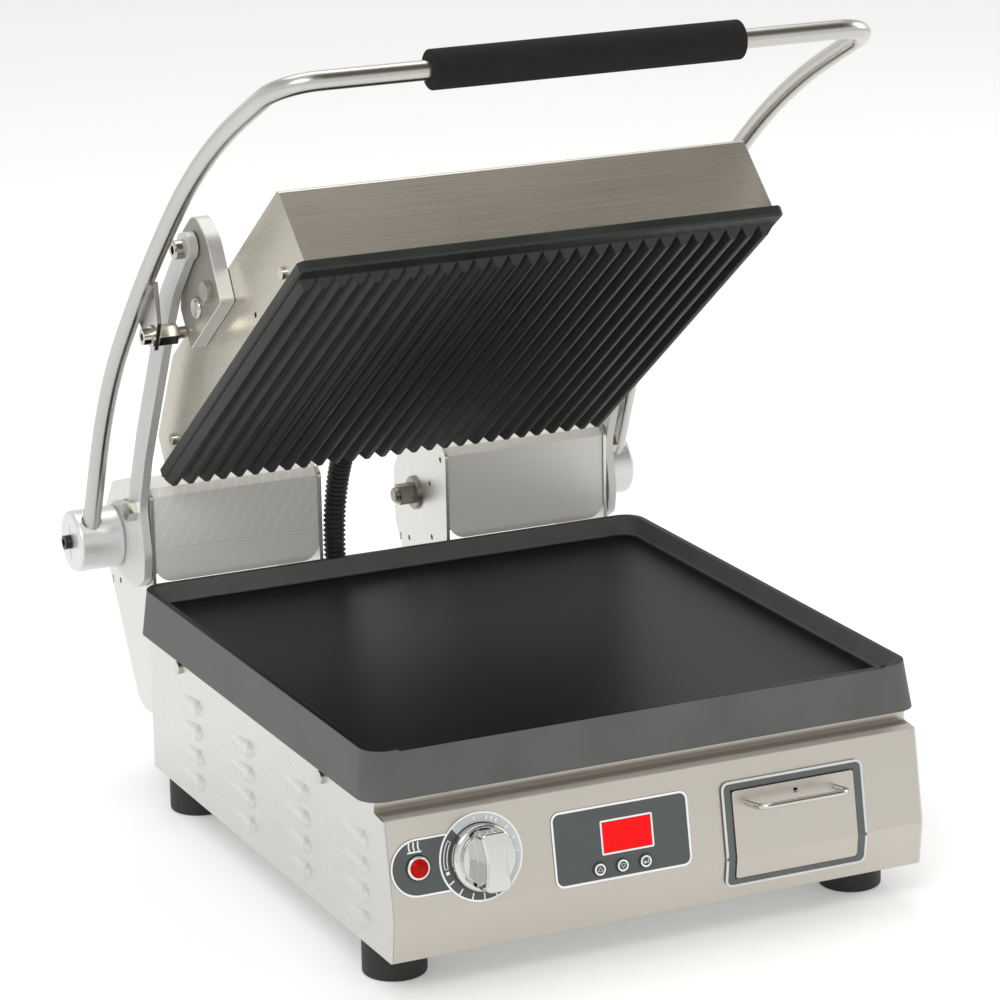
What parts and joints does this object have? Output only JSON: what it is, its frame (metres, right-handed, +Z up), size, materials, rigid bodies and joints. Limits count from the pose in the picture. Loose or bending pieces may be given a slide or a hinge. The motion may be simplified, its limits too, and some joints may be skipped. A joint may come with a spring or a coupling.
{
  "type": "panini press",
  "caption": "Countertop panini press with a smooth lower griddle, ribbed floating upper plate on a spring-balanced lift handle, front dial, display and waste drawer.",
  "frame": {"origin": "centre of the whole press in plan, on the surface the feet stand on", "axes": "+Z up, +X to the right of a person facing the controls, -Y towards that person"},
  "size_m": [0.4494, 0.5538, 0.5788],
  "materials": {
    "casing_steel": "satin, fine grain",
    "housing_steel": "satin, fine grain along the width",
    "cover_steel": "satin",
    "griddle_iron": "smooth, seasoned",
    "platen_iron": "seasoned",
    "plain_aluminium": "satin",
    "bolt_steel": "bright zinc",
    "handle_steel": "polished",
    "grip_foam": "fine foam",
    "foot_rubber": "matt",
    "label_grey": "printed film",
    "display_red": "clear red",
    "lamp_red": "clear red",
    "bezel_black": "satin",
    "knob_chrome": "polished",
    "button_grey": "satin",
    "gasket_grey": "satin",
    "conduit_black": "ribbed",
    "gland_black": "satin",
    "element_steel": "heat-tinted",
    "insulation_white": "matt",
    "board_green": "satin",
    "thermostat_white": "satin",
    "spring_steel": "oiled"
  },
  "bodies": {
    "base": {"front_left_foot": "foot_rubber", "front_right_foot": "foot_rubber", "rear_left_foot": "foot_rubber", "rear_right_foot": "foot_rubber", "base_pan": "casing_steel", "front_panel": "casing_steel", "rear_panel": "casing_steel", "left_side_panel": "casing_steel", "right_side_panel": "casing_steel", "side_screws": "bolt_steel", "lower_griddle_plate": "griddle_iron", "lower_heating_element": "element_steel", "lower_insulation": "insulation_white", "left_outer_hinge_plate": "cover_steel", "left_inner_hinge_plate": "cover_steel", "right_outer_hinge_plate": "cover_steel", "right_inner_hinge_plate": "cover_steel", "left_spring_cover": "cover_steel", "right_spring_cover": "cover_steel", "left_torsion_spring": "spring_steel", "right_torsion_spring": "spring_steel", "left_hinge_shaft": "bolt_steel", "right_hinge_shaft": "bolt_steel", "shaft_nuts": "bolt_steel", "hub_end_bolts": "bolt_steel", "dial_label": "label_grey", "display_label": "label_grey", "display_window": "display_red", "control_board": "board_green", "lamp_bezel": "bezel_black", "lamp_lens": "lamp_red", "thermostat": "thermostat_white", "drawer_frame": "gasket_grey", "drawer_rails": "casing_steel", "conduit_gland": "gland_black", "power_gland": "gland_black", "conduit": "conduit_black"},
    "lift_frame": {"left_arm": "plain_aluminium", "right_arm": "plain_aluminium", "left_hub": "plain_aluminium", "right_hub": "plain_aluminium", "handle_tube": "handle_steel", "handle_grip": "grip_foam", "stop_standoffs": "bolt_steel", "arm_bolts": "bolt_steel", "pivot_bolts": "bolt_steel"},
    "platen": {"upper_platen": "platen_iron", "upper_heating_element": "element_steel", "upper_housing": "housing_steel", "left_platen_bracket": "plain_aluminium", "right_platen_bracket": "plain_aluminium", "bracket_bolts": "bolt_steel", "housing_screws": "bolt_steel"},
    "drawer": {"drawer_front": "casing_steel", "drawer_tray": "casing_steel", "drawer_pull": "handle_steel"},
    "knob": {"control_knob": "knob_chrome"},
    "up_button": {"up_button": "button_grey"},
    "down_button": {"down_button": "button_grey"},
    "enter_button": {"enter_button": "button_grey"}
  },
  "joints": [
    {"name": "lift_hinge", "type": "hinge", "parent": "base", "child": "lift_frame", "pos_m": [0, 0.2379, 0.177], "axis": [1, 0, 0], "range_deg": [0, 42.8], "deforming": ["conduit"]},
    {"name": "platen_tilt", "type": "hinge", "parent": "lift_frame", "child": "platen", "pos_m": [0, 0.0783, 0.417], "axis": [1, 0, 0], "range_deg": [-5.8, 0]},
    {"name": "knob_turn", "type": "hinge", "parent": "base", "child": "knob", "pos_m": [-0.1266, -0.24925, 0.08642], "axis": [0, -0.9844, 0.1757], "range_deg": [-300, 0]},
    {"name": "drawer_slide", "type": "slide", "parent": "base", "child": "drawer", "axis": [0, -1, 0], "range_m": [0, 0.2]},
    {"name": "up_button_press", "type": "slide", "parent": "base", "child": "up_button", "axis": [0, 0.9844, -0.1757], "range_m": [0, 0.001], "stiffness_N_per_m": 800, "springref_m": -0.0006},
    {"name": "down_button_press", "type": "slide", "parent": "base", "child": "down_button", "axis": [0, 0.9844, -0.1757], "range_m": [0, 0.001], "stiffness_N_per_m": 800, "springref_m": -0.0006},
    {"name": "enter_button_press", "type": "slide", "parent": "base", "child": "enter_button", "axis": [0, 0.9844, -0.1757], "range_m": [0, 0.001], "stiffness_N_per_m": 800, "springref_m": -0.0006}
  ],
  "couplings": [
    {"joint": "platen_tilt", "follows": "lift_hinge", "ratio": -0.13551}
  ]
}
